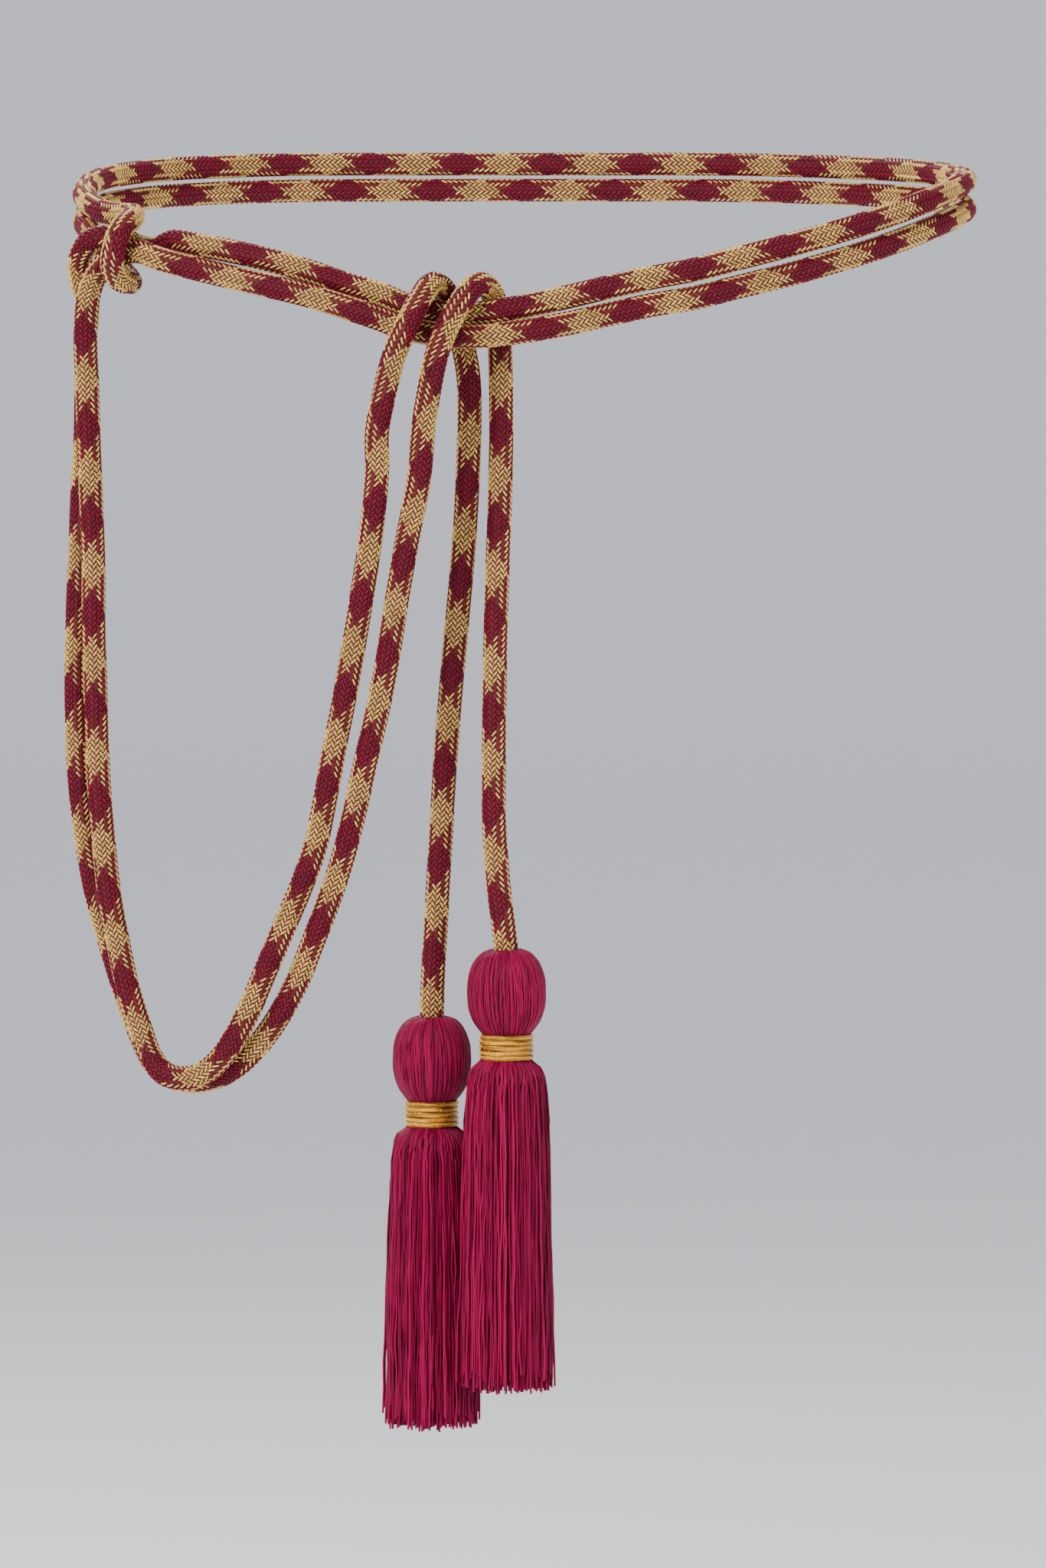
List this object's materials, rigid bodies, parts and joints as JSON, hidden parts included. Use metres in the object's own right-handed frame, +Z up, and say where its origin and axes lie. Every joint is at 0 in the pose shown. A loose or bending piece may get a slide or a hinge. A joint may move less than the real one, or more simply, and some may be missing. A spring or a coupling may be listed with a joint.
{
  "type": "cincture cord",
  "caption": "Braided waist cord, doubled and knotted at the hip, with a long doubled drape and two tasselled tails.",
  "frame": {"origin": "middle of the waist opening, level with the loop at the wearer's left side, where the wearer's waist holds the cord up", "axes": "+Z up along the wearer, -Y to the wearer's front, +X to the wearer's left"},
  "size_m": [0.3395, 0.2743, 0.4634],
  "materials": {
    "cord_braid": "tight round braid of gold and burgundy rayon yarn, soft sheen",
    "tassel_yarn": "glossy crimson rayon thread",
    "gold_binding": "wound metallic gold thread, bright"
  },
  "bodies": {
    "root": {"cord": "cord_braid", "tassel_left": "tassel_yarn", "tassel_right": "tassel_yarn", "binding_left": "gold_binding", "binding_right": "gold_binding"}
  },
  "joints": []
}
